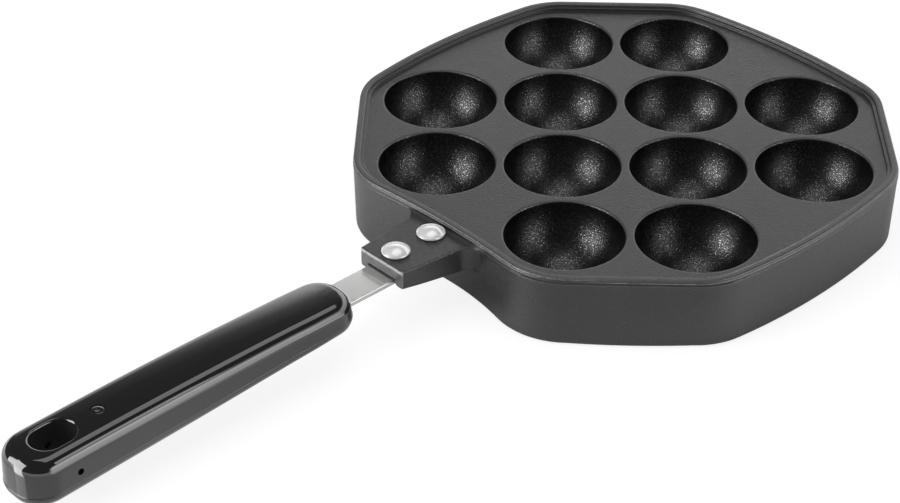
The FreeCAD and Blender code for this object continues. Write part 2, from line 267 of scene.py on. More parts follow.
# ---- Geometry Nodes: turned pieces, the plate with its cups, the rivets ---------------
def node(tree, kind, inputs=None, **settings):
    """Adds a node, sets what it is told to, and links or fills its inputs by name or number."""
    made = tree.nodes.new(kind)
    for key, value in settings.items():
        setattr(made, key, value)
    for key, value in (inputs or {}).items():
        if isinstance(value, bpy.types.NodeSocket):
            tree.links.new(value, made.inputs[key])
        else:
            made.inputs[key].default_value = value
    return made


def sum_up(tree, operation, a, b=0.0):
    return node(tree, "ShaderNodeMath", {0: a, 1: b}, operation=operation).outputs[0]


def chain(tree, operation, values):
    """Values taken together by one operation, in their order."""
    whole = values[0]
    for value in values[1:]:
        whole = sum_up(tree, operation, whole, value)
    return whole


def times(tree, *values):
    return chain(tree, "MULTIPLY", values)


def plus(tree, *values):
    return chain(tree, "ADD", values)


def spread(tree, value, low, high, out_low=0.0, out_high=1.0):
    """Takes a value from one range to another, and holds it there."""
    return node(tree, "ShaderNodeMapRange", {"Value": value, "From Min": low, "From Max": high,
                                             "To Min": out_low, "To Max": out_high}).outputs[0]


def mix(tree, share, first, second):
    """A colour between two, each a colour or a socket."""
    return node(tree, "ShaderNodeMix", {"Factor": share, 6: first, 7: second}, data_type="RGBA").outputs[2]


def new_tree(name, sockets):
    """A modifier's tree with a geometry in and out, and the named inputs."""
    tree = bpy.data.node_groups.new(name, "GeometryNodeTree")
    tree.interface.new_socket("Geometry", in_out="INPUT", socket_type="NodeSocketGeometry")
    tree.interface.new_socket("Geometry", in_out="OUTPUT", socket_type="NodeSocketGeometry")
    for label, kind in sockets:
        tree.interface.new_socket(label, in_out="INPUT", socket_type=kind)
    return tree, tree.nodes.new("NodeGroupInput").outputs


def turn_section(tree, section, steps):
    """Turns a section, a line of points with x outwards and z up, round the upright axis."""
    count = node(tree, "GeometryNodeAttributeDomainSize", {"Geometry": section}).outputs["Point Count"]
    grid = node(tree, "GeometryNodeMeshGrid", {"Size X": 1.0, "Size Y": 1.0, "Vertices X": count,
                                               "Vertices Y": sum_up(tree, "ADD", steps, 1.0)})
    here = tree.nodes.new("GeometryNodeInputPosition").outputs[0]
    place = node(tree, "ShaderNodeSeparateXYZ", {0: here}).outputs
    along = times(tree, sum_up(tree, "ADD", place["X"], 0.5), sum_up(tree, "SUBTRACT", count, 1.0))
    taken = node(tree, "GeometryNodeSampleIndex",
                 {"Geometry": section, "Index": sum_up(tree, "ROUND", along)}, data_type="FLOAT_VECTOR")
    tree.links.new(here, next(s for s in taken.inputs if s.name == "Value" and s.enabled))
    point = next(s for s in taken.outputs if s.enabled)
    angle = sum_up(tree, "MULTIPLY", sum_up(tree, "ADD", place["Y"], 0.5), 2 * math.pi)
    spun = node(tree, "ShaderNodeVectorRotate", {"Vector": point, "Angle": angle}, rotation_type="Z_AXIS")
    placed = node(tree, "GeometryNodeSetPosition",
                  {"Geometry": grid.outputs["Mesh"], "Position": spun.outputs[0]})
    return node(tree, "GeometryNodeMergeByDistance",
                {"Geometry": placed.outputs[0], "Distance": 1e-6}).outputs[0]


def end_tree(tree, pieces, material):
    joined = tree.nodes.new("GeometryNodeJoinGeometry")
    for piece in pieces:
        tree.links.new(piece, joined.inputs[0])
    whole = node(tree, "GeometryNodeRealizeInstances", {0: joined.outputs[0]}).outputs[0]
    whole = node(tree, "GeometryNodeMergeByDistance", {"Geometry": whole, "Distance": 1e-5}).outputs[0]
    coated = node(tree, "GeometryNodeSetMaterial", {"Geometry": whole, "Material": material}).outputs[0]
    out = tree.nodes.new("NodeGroupOutput")
    tree.links.new(coated, out.inputs[0])


def run_tree(thing, tree, values):
    """Puts a tree on an object with its inputs set, and leaves the plain mesh that it makes."""
    step = thing.modifiers.new(tree.name, "NODES")
    step.node_group = tree
    for item in tree.interface.items_tree:
        if item.in_out == "INPUT" and item.name in values:
            step[item.identifier] = values[item.name]
    settle(thing)


def line_object(name, points, closed=False):
    mesh = bpy.data.meshes.new(name)
    count = len(points)
    mesh.from_pydata([tuple(c * MM for c in p) for p in points],
                     [(k, (k + 1) % count) for k in range(count if closed else count - 1)], [])
    return new_object(name, mesh)


def cup_plate_tree():
    """The plate between its edge and the cups' mouths, and a cup at each place but the corners."""
    tree, given = new_tree("cup plate", [
        ("Cup section", "NodeSocketObject"), ("Cups per side", "NodeSocketInt"), ("Pitch", "NodeSocketFloat"),
        ("Mouth radius", "NodeSocketFloat"), ("Steps round a cup", "NodeSocketInt"),
        ("Plate height", "NodeSocketFloat"), ("Finish", "NodeSocketMaterial")])
    steps, pitch = given["Steps round a cup"], given["Pitch"]
    reach = sum_up(tree, "MULTIPLY", pitch, sum_up(tree, "SUBTRACT", given["Cups per side"], 1.0))
    cells = node(tree, "GeometryNodeMeshGrid", {"Size X": reach, "Size Y": reach,
                                                "Vertices X": given["Cups per side"],
                                                "Vertices Y": given["Cups per side"]}).outputs["Mesh"]
    here = tree.nodes.new("GeometryNodeInputPosition").outputs[0]
    at = node(tree, "ShaderNodeSeparateXYZ", {0: here}).outputs
    limit = sum_up(tree, "SUBTRACT", times(tree, reach, 0.5), times(tree, pitch, 0.5))
    far_out = [sum_up(tree, "GREATER_THAN", sum_up(tree, "ABSOLUTE", at[axis]), limit) for axis in ("X", "Y")]
    corner = sum_up(tree, "MULTIPLY", far_out[0], far_out[1])
    kept = node(tree, "GeometryNodeDeleteGeometry", {"Geometry": cells, "Selection": corner}, domain="POINT")
    places = node(tree, "GeometryNodeTransform", {"Geometry": kept.outputs[0],
                                                  "Rotation": (0.0, 0.0, math.radians(45.0))}).outputs[0]
    section = node(tree, "GeometryNodeObjectInfo", {"Object": given["Cup section"]}).outputs["Geometry"]
    cup = turn_section(tree, section, steps)
    cups = node(tree, "GeometryNodeInstanceOnPoints", {"Points": places, "Instance": cup}).outputs[0]
    mouth = node(tree, "GeometryNodeCurvePrimitiveCircle",
                 {"Resolution": steps, "Radius": given["Mouth radius"]}).outputs["Curve"]
    mouths = node(tree, "GeometryNodeInstanceOnPoints", {"Points": places, "Instance": mouth}).outputs[0]
    mouths = node(tree, "GeometryNodeRealizeInstances", {0: mouths}).outputs[0]
    edge = node(tree, "GeometryNodeMeshToCurve", {"Mesh": given["Geometry"]}).outputs[0]
    lines = tree.nodes.new("GeometryNodeJoinGeometry")
    tree.links.new(edge, lines.inputs[0])
    tree.links.new(mouths, lines.inputs[0])
    sheet = node(tree, "GeometryNodeFillCurve", {0: lines.outputs[0]}).outputs[0]
    lift = node(tree, "ShaderNodeCombineXYZ", {"Z": given["Plate height"]}).outputs[0]
    plate = node(tree, "GeometryNodeTransform", {"Geometry": sheet, "Translation": lift}).outputs[0]
    end_tree(tree, [plate, cups], given["Finish"])
    return tree


def rivet_tree():
    """Rivets in a row, each turned from one section."""
    tree, given = new_tree("rivet row", [
        ("Count", "NodeSocketInt"), ("First at", "NodeSocketFloat"), ("Spacing", "NodeSocketFloat"),
        ("Steps round a rivet", "NodeSocketInt"), ("Finish", "NodeSocketMaterial")])
    first = node(tree, "ShaderNodeCombineXYZ", {"Y": times(tree, given["First at"], -1.0)}).outputs[0]
    pace = node(tree, "ShaderNodeCombineXYZ", {"Y": given["Spacing"]}).outputs[0]
    row = node(tree, "GeometryNodeMeshLine",
               {"Count": given["Count"], "Start Location": first, "Offset": pace})
    rivet = turn_section(tree, given["Geometry"], given["Steps round a rivet"])
    rivets = node(tree, "GeometryNodeInstanceOnPoints",
                  {"Points": row.outputs[0], "Instance": rivet}).outputs[0]
    end_tree(tree, [rivets], given["Finish"])
    return tree


# ---- the casting -----------------------------------------------------------------
def cup_places():
    """Centres of the cups: a square pattern on its corner, without its four corner cups."""
    last = CUPS_PER_SIDE - 1
    places = []
    for column in range(CUPS_PER_SIDE):
        for row in range(CUPS_PER_SIDE):
            if not (column in (0, last) and row in (0, last)):
                across, back = (column - last / 2) * CUP_PITCH, (row - last / 2) * CUP_PITCH
                places.append(((across - back) / math.sqrt(2), (across + back) / math.sqrt(2)))
    return places


def cup_section():
    """A cup from its middle up to its rounded lip, and a narrow flat round it."""
    drop = CUP_CENTRE_HEIGHT - (PLATE - CUP_LIP)
    lip_centre = math.sqrt((CUP_SPHERE + CUP_LIP) ** 2 - drop ** 2)
    lean = math.degrees(math.asin(drop / (CUP_SPHERE + CUP_LIP)))
    section = quarter((0.0, CUP_CENTRE_HEIGHT), CUP_SPHERE, -90.0, -lean, 30)
    section += quarter((lip_centre, PLATE - CUP_LIP), CUP_LIP, 180.0 - lean, 90.0, 6)[1:]
    mouth = lip_centre + CUP_FLAT
    section += [(mouth, PLATE)]
    return [(max(x, 0.0), 0.0, z) for x, z in section], mouth


def bowl_height(distance):
    """Height of a bowl's underside at a distance from its middle, run out into the plate."""
    outer, fillet = CUP_SPHERE + BOWL_WALL, UNDERSIDE_FILLET
    level = PLATE_UNDERSIDE - fillet
    run_out = math.sqrt((outer + fillet) ** 2 - (CUP_CENTRE_HEIGHT - level) ** 2)
    if distance >= run_out:
        return PLATE_UNDERSIDE
    if distance > run_out * outer / (outer + fillet):
        return level + math.sqrt(fillet ** 2 - (run_out - distance) ** 2)
    return CUP_CENTRE_HEIGHT - math.sqrt(outer ** 2 - distance ** 2)


def add_underside(skin, edge):
    """The underside of the plate with its twelve bowls, filled out to the ring of the skirt."""
    outer, spokes = CUP_SPHERE + BOWL_WALL, 64
    places = cup_places()
    radii = [outer * sine(a) for a in (6, 14, 22, 30, 38, 46, 53, 60, 66, 71, 75, 78.4)]
    radii += [23.87, 24.0, 24.2, 24.5, 24.85, 25.2, 25.9]
    points = [Vector((skin.points[i][0], skin.points[i][1])) for i in edge]
    border = len(points)
    for x, y in places:
        points.append(Vector((x, y)))
        for spoke in range(spokes):
            heading = 2 * math.pi * spoke / spokes
            way = (math.cos(heading), math.sin(heading))
            # a spoke towards a neighbour ends on the line halfway between the two
            beside = [((ox - x) * way[0] + (oy - y) * way[1]) / CUP_PITCH for ox, oy in places
                      if 1 < math.hypot(ox - x, oy - y) < CUP_PITCH + 1]
            limit = min([CUP_PITCH / 2 / c for c in beside if c > 0.5] + [99.0])
            reaches = [r for r in radii if r < limit - 0.25] + ([limit] if limit < radii[-1] else [])
            points += [Vector((x + way[0] * r, y + way[1] * r)) for r in reaches]
    loop = [(k, (k + 1) % border) for k in range(border)]
    spots, _, faces, origins, _, _ = delaunay_2d_cdt(points, loop, [], 1, 1e-4)
    numbers = []
    for spot, origin in zip(spots, origins):
        known = [o for o in origin if o < border]
        if known:
            numbers.append(edge[known[0]])
        else:
            height = min(bowl_height(math.hypot(spot.x - x, spot.y - y)) for x, y in places)
            skin.points.append((spot.x, spot.y, height))
            numbers.append(len(skin.points) - 1)
    skin.faces += [tuple(numbers[i] for i in face) for face in faces]


def pan_skin():
    """Rim, wall, foot, inner wall and underside, from the plate's edge round to the bowls."""
    section = [(PLATE_EDGE, PLATE), (4.4, PLATE), (4.2, PLATE + 0.07), (4.1, PLATE + 0.26)]
    section += quarter((4.1 - 0.3, PLATE + 0.85), 0.3, 0.0, 90.0, 3)
    section += [(3.15, PLATE + 1.15), (2.93, PLATE + 1.22), (2.8, PLATE + 1.42)]
    section += quarter((2.1, RIM - RIM_ROUNDING), RIM_ROUNDING, 0.0, 90.0, 6)
    section += [(1.7, RIM), (1.1, RIM)]
    section += quarter((RIM_ROUNDING + MOULD_STEP, RIM - RIM_ROUNDING), RIM_ROUNDING, 90.0, 180.0, 6)
    section += [(MOULD_STEP, 27.15), (MOULD_STEP * 0.9, 27.03), (0.03, 26.86), (0.0, 26.76), (0.0, 26.2)]
    section += [(0.0, 25.5), (-0.08, 25.35), (-0.1, 25.2), (-0.08, 25.05), (0.0, 24.9)]
    section += [(0.0, z) for z in (24.0, 20.0, 16.0, 12.0, 8.0, 4.0, 2.4)]
    section += quarter((FOOT_ROUNDING, FOOT_ROUNDING), FOOT_ROUNDING, 180.0, 270.0, 7)
    section += [(2.3, 0.0)] + quarter((2.6, 0.4), 0.4, -90.0, 0.0, 3)
    section += [(3.0, z) for z in (3.0, 9.0, 15.0, 19.5)]
    section += quarter((4.5, PLATE_UNDERSIDE - UNDERSIDE_FILLET), UNDERSIDE_FILLET, 180.0, 90.0, 4)
    section += [(4.9, PLATE_UNDERSIDE)]
    skin = Skin()
    rings = skin.loft([wall_ring(inset, height) for inset, height in section])
    add_underside(skin, rings[-1])
    return skin


def lug_half_width(distance, side):
    """Half-width of the lug, wider towards the pan."""
    knots = (99.0, 106.5, 115.0, 121.3, LUG_END)
    widths = {1: (13.55, 12.75, 11.85, 10.95, 10.8), -1: (12.65, 12.0, 11.3, 10.75, 10.7)}[side]
    return float(np.interp(distance, knots, widths))


def lug_reach(distance, turn, height):
    """How far out a point of a station lies: in the round roots it keeps to the leaning wall."""
    if not turn:
        return distance
    wall = LUG_SIDE + 0.34 - 0.088 * (RIM - height)
    return wall + LUG_ROOT * (1 - sine(turn))


def lug_paths(distance, side, shrink, turn):
    """One side of a section: the outer line from the top's middle, and the line round the groove."""
    half = lug_half_width(distance, side) - shrink * 1.6 + LUG_ROOT * (1 - cosine(turn))
    # the flank on one side is slightly wavy, and straight again at the end
    wave = 0.0
    if side > 0 and not turn:
        wave = 0.24 * math.sin(distance * 2.6) * math.sin(distance * 0.71 + 1.0)
        wave *= min(1.0, (LUG_END - distance) / 6)
    top = LUG_TOP - shrink
    low = 18.2 - 0.12 * (LUG_END - distance) + shrink
    groove, edge, foot = 6.65 + shrink * 0.5, LUG_EDGE, 0.9
    roof = STRAP_TOP + shrink * 0.4 + SLOT_MOUTH * min(max((distance - LUG_END + 6.0) / 2.0, 0.0), 1.0)
    rounding = quarter((half - edge, top - edge), edge, 90.0, 0.0, 4)
    outer = [(0.0, top), (half * 0.35, top), (half * 0.7, top), (half - edge - 0.4, top)]
    outer += [(x + wave * (1 if k else 0.3), z) for k, (x, z) in enumerate(rounding)]
    outer += [(half, top - 1.2), (half, (top + low) / 2), (half, low + foot + 0.3)]
    outer += quarter((half - foot, low + foot), foot, 0.0, -90.0, 4)
    middle = (half - foot + groove + 1.7) / 2
    outer += [(middle, low)]
    inner = [(0.0, roof), (groove * 0.5, roof), (groove - 0.7, roof)]
    inner += quarter((groove - 0.4, roof - 0.4), 0.4, 90.0, 0.0, 3)
    inner += [(groove, roof - 0.8), (groove, (roof + low) / 2 + 0.4)]
    inner += quarter((groove + 1.7, low + 1.7), 1.7, 180.0, 270.0, 7)
    inner += [(middle, low)]
    if distance < STRAP_START:
        inner = [(x, low) for x, z in inner]
    return [[(side * x, -lug_reach(distance, turn, z), z) for x, z in line] for line in (outer, inner)]


def lug_object():
    """The lug, open underneath for the strap, its inner end sunk into the pan's wall."""
    # each station is a distance, a shrinking towards the rounded end, and a turn into the roots
    stations = [(LUG_END - LUG_EDGE + LUG_EDGE * sine(a), LUG_EDGE * (1 - cosine(a)), 0)
                for a in (90.0, 75.0, 60.0, 45.0, 30.0, 15.0, 0.0)]
    stations += [(d, 0.0, 0) for d in (121.0, 120.0, 118.5)]
    stations += [(d, 0.0, 0) for d in np.linspace(117.5, 100.1, 46)]
    stations += [(99.0, 0.0, turn) for turn in range(6, 56, 7)]
    stations += [(94.0, 0.0, turn) for turn in (56, 62, 68, 74, 80, 86)]
    stations += [(90.0, 0.0, 130)]
    skin = Skin()
    rows = []
    for distance, shrink, turn in stations:
        sides = {side: lug_paths(distance, side, shrink, min(turn, 90)) for side in (1, -1)}
        if turn > 90:
            sides = {side: [[(x, -LUG_SUNK_END, z) for x, _, z in line] for line in lines]
                     for side, lines in sides.items()}
        loop = sides[1][0] + sides[1][1][-2::-1] + sides[-1][1][1:] + sides[-1][0][-2:0:-1]
        rows.append((skin.ring(loop), len(sides[1][0])))
    for (a, _), (b, _) in zip(rows, rows[1:]):
        skin.bridge(a, b)
    for ring, count in (rows[0], rows[-1]):
        # the two ladders between the outer line and the groove's line of one end
        total = len(ring)
        right_outer, right_inner = ring[:count], [ring[(2 * count - 2 - k) % total] for k in range(count)]
        left_inner = [ring[2 * count - 2 + k] for k in range(count)]
        left_outer = [ring[(total - k) % total] for k in range(count)]
        for a, b in ((right_outer, right_inner), (left_outer, left_inner)):
            for k in range(count - 1):
                corners = list(dict.fromkeys((a[k], a[k + 1], b[k + 1], b[k])))
                if len(corners) > 2:
                    skin.faces.append(tuple(corners))
    return skin_object("lug", skin)


def pan_casting(material):
    """The whole casting: plate and cups, wall and underside, and the lug."""
    section, mouth = cup_section()
    section_object = line_object("cup_section", section)
    plate = line_object("cup_plate", [(x, y, 0.0) for x, y, _ in wall_ring(PLATE_EDGE, PLATE)], closed=True)
    run_tree(plate, cup_plate_tree(), {
        "Cup section": section_object, "Cups per side": CUPS_PER_SIDE, "Pitch": CUP_PITCH * MM,
        "Mouth radius": mouth * MM, "Steps round a cup": 88, "Plate height": PLATE * MM, "Finish": material})
    casting = skin_object("pan_casting", pan_skin(), plate.data)
    for spare in (plate, section_object):
        bpy.data.objects.remove(spare)
    combine(casting, lug_object(), "UNION")
    finish_piece(casting, 38.0, material, "coated_casting", "pan_body")


# ---- strap and rivets ----------------------------------------------------------------
def strap_bar(material):
    """Flat bar with eased edges, round-cornered at both ends."""
    end_radius, ease = 3.0, 0.4
    runs = [end_radius * (1 - cosine(a)) for a in range(0, 91, 10)]
    stations = [STRAP_START + r for r in runs] + [112.0, 130.0, 160.0, 200.0]
    stations += [STRAP_END - r for r in runs[::-1]]
    rings = []
    for d in stations:
        left = min(d - STRAP_START, STRAP_END - d, end_radius)
        width = STRAP_HALF - end_radius + math.sqrt(max(end_radius ** 2 - (end_radius - left) ** 2, 0.0))
        corners = []
        for sx, sz, start in ((1, 1, 0), (-1, 1, 90), (-1, -1, 180), (1, -1, 270)):
            centre = (sx * (width - ease), (STRAP_TOP if sz > 0 else STRAP_UNDERSIDE) - sz * ease)
            corners += quarter(centre, ease, start, start + 90, 4)
        rings.append([(x, -d, z) for x, z in corners])
    finish_piece(capped_object("strap_bar", rings), 35.0, material, "strap_steel", "handle_strap")


def rivet_section():
    """Half of a rivet: domed head with a rolled edge, shank, and the formed head below."""
    head_radius, head_rise, tail_radius, tail_rise, shank = 5.4, 2.58, 4.3, 1.5, 2.5
    edge = 0.8
    flat = head_radius - edge
    dome_rise = head_rise - edge
    ball = (flat ** 2 + dome_rise ** 2) / (2 * dome_rise)
    points = [(0.0, head_rise)]
    for k in range(1, 17):
        x = flat * k / 16
        points.append((x, edge + math.sqrt(ball ** 2 - x ** 2) - (ball - dome_rise)))
    lean = math.degrees(math.asin(flat / ball))
    points += quarter((flat - edge * 0.25, edge * 0.8), edge * 0.9, 90.0 - lean, -35.0, 6)[1:]
    points += [(flat - 0.2, 0.0), (shank, 0.0)]
    section = [(x, 0.0, LUG_TOP + z) for x, z in points]
    section += [(shank, 0.0, STRAP_UNDERSIDE), (tail_radius - 0.2, 0.0, STRAP_UNDERSIDE)]
    tail_ball = (tail_radius ** 2 + tail_rise ** 2) / (2 * tail_rise)
    for k in range(12, -1, -1):
        x = (tail_radius - 0.12) * k / 12
        drop = math.sqrt(tail_ball ** 2 - x ** 2) - (tail_ball - tail_rise)
        section.append((x, 0.0, STRAP_UNDERSIDE - drop))
    return section


def rivet_pair(material):
    """Both rivets as one piece."""
    rivets = line_object("rivet_pair", rivet_section())
    run_tree(rivets, rivet_tree(), {
        "Count": 2, "First at": OUTER_RIVET_AT * MM, "Spacing": RIVET_SPACING * MM,
        "Steps round a rivet": 56, "Finish": material})
    close_up(rivets.data)
    finish_piece(rivets, 40.0, material, "rivet_steel", "rivet_outer", "rivet_inner")


# ---- the grip ------------------------------------------------------------------------
def grip_top(distance, across=0.0):
    """Height of the grip's top, arched along its length and crowned across."""
    arch = GRIP_ARCH - math.sqrt(GRIP_ARCH ** 2 - (distance - (GRIP_START + GRIP_END) / 2) ** 2)
    return PLATE - 0.5 - arch - across ** 2 / (2 * GRIP_CROWN)


def grip_underside(distance):
    """Height of the grip's underside, lower towards the tail."""
    return PLATE - (GRIP_DEPTH + (distance - GRIP_START) / (GRIP_END - GRIP_START) * GRIP_DEPTH_GAIN)


def grip_swell(distance):
    """Sideways swelling of the grip: a slight barrel, with a small flare near the strap."""
    share = (distance - GRIP_START) / (GRIP_END - GRIP_START)
    barrel = 0.022 * math.sin(math.pi * min(max(share, 0.0), 1.0)) ** 2
    return 1.0 + barrel + 0.012 * math.exp(-((distance - 160.0) / 7.0) ** 2)


def grip_outline(inset):
    """The grip from above: points go round from the middle of the end by the strap."""
    radius = GRIP_CORNER - inset
    start, end, side_steps, turn_steps = 11.5, 12.05, 56, 12
    points = []
    for half, centre, first in ((start, GRIP_START + GRIP_CORNER, 90.0), (end, GRIP_END - GRIP_CORNER, 0.0)):
        for k in range(turn_steps + 1):
            turn = math.radians(first - 90.0 * k / turn_steps)
            points.append((half - GRIP_CORNER + radius * math.cos(turn), -centre + radius * math.sin(turn)))
        if first == 90.0:
            for k in range(1, side_steps):
                share = k / side_steps
                points.append((start + (end - start) * share - inset,
                               -(GRIP_START + GRIP_CORNER) * (1 - share) - (GRIP_END - GRIP_CORNER) * share))
    return points + [(-x, y) for x, y in points[::-1]]


def grip_ring(inset, rise, share):
    """A ring round the grip: share 0 counts its rise from the underside, 1 from the top."""
    ring = []
    for x, y in grip_outline(inset):
        low, high = grip_underside(-y), grip_top(-y, x)
        ring.append((x * grip_swell(-y), y, low + (high - low) * share + rise))
    return ring


def grip_shell():
    """The grip before its holes are cut: each ring is an inset, a rise and a share of the height."""
    top, bottom = GRIP_TOP_EDGE, GRIP_BOTTOM_EDGE
    rings = [(GRIP_CORNER - 0.02, 0.0, 0.0), (8.0, 0.0, 0.0), (5.6, 0.0, 0.0), (bottom + 0.4, 0.0, 0.0)]
    rings += [(bottom * (1 - sine(a)), bottom * (1 - cosine(a)), 0.0)
              for a in range(0, 91, 9)]
    rings += [(0.0, bottom + 0.35, 0.0), (0.03, bottom + 0.42, 0.0), (0.12, bottom + 0.5, 0.0),
              (0.13, bottom + 0.8, 0.0)]
    draft = 0.42
    rings += [(0.2, (bottom + 0.8) * 0.6 - top * 0.4, 0.4), (0.33, (bottom + 0.8) * 0.2 - top * 0.8, 0.8)]
    rings += [(draft + (top - draft) * (1 - cosine(a)), -top * (1 - sine(a)), 1.0)
              for a in range(0, 91, 8)]
    rings += [(inset, 0.0, 1.0) for inset in (top, top + 0.5, 6.6, 8.4, GRIP_CORNER - 0.02)]
    skin = Skin()
    made = skin.loft([grip_ring(*r) for r in rings])
    for ring in (made[0], made[-1]):
        half = len(ring) // 2
        for k in range(half - 1):
            skin.faces.append((ring[k], ring[k + 1], ring[len(ring) - 2 - k], ring[len(ring) - 1 - k]))
    return skin_object("grip_shell", skin)


def oblong(length, width, grow, steps=18):
    """Outline of the hanging hole, its long way along the grip."""
    radius, reach = width / 2 + grow, (length - width) / 2
    points = []
    for sign, first in ((1, 0.0), (-1, 180.0)):
        for k in range(steps + 1):
            turn = math.radians(first + 180.0 * k / steps)
            points.append((radius * math.cos(turn), sign * reach + radius * math.sin(turn)))
    return points


def hang_hole_tool():
    """The shape of the hanging hole, opening out in a rounding at both faces."""
    edge = HOLE_EDGE
    levels = [(edge, 3.0, 1)] + [(edge * (1 - cosine(a)), -edge * (1 - sine(a)), 1)
                                 for a in range(90, -1, -10)]
    levels += [(edge * (1 - cosine(a)), edge * (1 - sine(a)), 0)
               for a in range(0, 91, 10)] + [(edge, -3.0, 0)]
    rings = []
    for grow, rise, top in levels:
        ring = []
        for x, y in oblong(HANG_HOLE_LENGTH, HANG_HOLE_WIDTH, grow):
            distance = HANG_HOLE_AT + HANG_HOLE_SHIFT - y
            face = grip_top(distance, x) if top else grip_underside(distance)
            ring.append((x, -distance, face + rise))
        rings.append(ring)
    return capped_object("hang_hole_tool", rings)


def round_tool(name, radius, start, end, steps):
    """A plain round cutter between two points."""
    start, end = Vector(start), Vector(end)
    axis = (end - start).normalized()
    side = axis.orthogonal().normalized()
    other = axis.cross(side)
    rings = [[tuple(p + (side * math.cos(a) + other * math.sin(a)) * radius)
              for a in (2 * math.pi * k / steps for k in range(steps))] for p in (start, end)]
    return capped_object(name, rings)


def slot_tool():
    """The slot that the strap sits in, from the grip's face to behind the pin."""
    half, low, high = GRIP_SLOT_HALF, STRAP_UNDERSIDE - 0.1, STRAP_TOP + 0.1
    return capped_object("slot_tool", [
        [(-half, -d, low), (half, -d, low), (half, -d, high), (-half, -d, high)]
        for d in (GRIP_START - 4.0, STRAP_END + 0.2)])


def moulded_grip(material, inside):
    """The grip with its holes and its slot, unpolished inside the hanging hole as painted shade."""
    grip = grip_shell()
    grip.name = "moulded_grip"
    across = [(x, -CROSS_HOLE_AT, CROSS_HOLE_HEIGHT) for x in (-16.0, 16.0)]
    upright = [(0, -PIN_AT, z) for z in (2.0, 30.0)]
    for tool in (hang_hole_tool(), slot_tool(), round_tool("cross_tool", CROSS_HOLE_RADIUS, *across, 28),
                 round_tool("pin_tool", PIN_HOLE_RADIUS, *upright, 48)):
        combine(grip, tool, "DIFFERENCE")
    finish_piece(grip, 30.0, material, "grip_resin", "grip")
    # painted shade: the faces inside the hanging hole take a dull black that barely shines
    grip.data.materials.append(inside)
    for face in grip.data.polygons:
        x, y, z = (c / MM for c in face.center)
        within_hole = abs(x) < 6.0 and abs(y + HANG_HOLE_AT) < 8.4
        if within_hole and grip_underside(-y) + HOLE_EDGE < z < grip_top(-y) - HOLE_EDGE:
            face.material_index = 1


def pin_cap(material):
    """Pin through the grip: a low crowned face with a centre dimple, plain at its foot."""
    high, low = grip_top(PIN_AT) - 0.12, grip_underside(PIN_AT) + 0.2
    section = [(radius, high - drop) for radius, drop in (
        (0.0, 0.62), (0.45, 0.6), (0.62, 0.5), (0.68, 0.2), (0.74, 0.04), (0.86, 0.0), (1.3, 0.01),
        (1.9, 0.06), (2.15, 0.12), (2.32, 0.24), (2.4, 0.42))]
    section += [(2.4, low + 0.3), (2.2, low + 0.05), (1.6, low), (0.0, low)]
    steps = 48
    turns = [2 * math.pi * k / steps for k in range(steps)]
    skin = Skin()
    skin.loft([[(radius * math.cos(turn), radius * math.sin(turn) - PIN_AT, height) for turn in turns]
               for radius, height in section])
    finish_piece(skin_object("pin_cap", skin), 50.0, material, "grip_resin", "strap_pin")


# ---- finishes ------------------------------------------------------------------------
class Paint:
    """A material's nodes, all on Object coordinates in metres."""

    def __init__(self, name):
        self.material = bpy.data.materials.new(name)
        self.material.use_nodes = True
        self.tree = self.material.node_tree
        self.surface = self.tree.nodes["Principled BSDF"]
        self.place = self.tree.nodes.new("ShaderNodeTexCoord").outputs["Object"]
        self.axes = self.add("ShaderNodeSeparateXYZ", {0: self.place}).outputs

    def add(self, kind, inputs=None, **settings):
        return node(self.tree, kind, inputs, **settings)

    def noise(self, size_mm, detail=2.0, roughness=0.5, scale=None):
        """Noise with lumps of about a size in millimetres, from 0 to 1."""
        where = self.place
        if scale is not None:
            where = self.add("ShaderNodeMapping", {"Vector": where, "Scale": scale}).outputs[0]
        return self.add("ShaderNodeTexNoise", {"Vector": where, "Scale": 1000.0 / size_mm, "Detail": detail,
                                               "Roughness": roughness}).outputs["Fac"]

    def ramp(self, value, *limits):
        return spread(self.tree, value, *limits)

    def near(self, axis, centre, reach):
        """1 at a coordinate in millimetres, falling to 0 at a reach from it."""
        away = sum_up(self.tree, "ABSOLUTE", sum_up(self.tree, "SUBTRACT", self.axes[axis], centre * MM))
        return self.ramp(away, 0.0, reach * MM, 1.0, 0.0)

    def times(self, *values):
        return times(self.tree, *values)

    def plus(self, *values):
        return plus(self.tree, *values)

    def blend(self, share, first, second):
        return mix(self.tree, share, first, second)

    def bump(self, height, distance_mm, strength=1.0, under=None):
        made = self.add("ShaderNodeBump",
                        {"Height": height, "Distance": distance_mm * MM, "Strength": strength})
        if under is not None:
            self.tree.links.new(under, made.inputs["Normal"])
        return made.outputs[0]

    def set(self, **inputs):
        for key, value in inputs.items():
            socket = self.surface.inputs[key.replace("_", " ")]
            if isinstance(value, bpy.types.NodeSocket):
                self.tree.links.new(value, socket)
            else:
                socket.default_value = value


def grey(value, warm=0.0):
    return (value * (1 + warm), value, value * (1 - warm), 1.0)


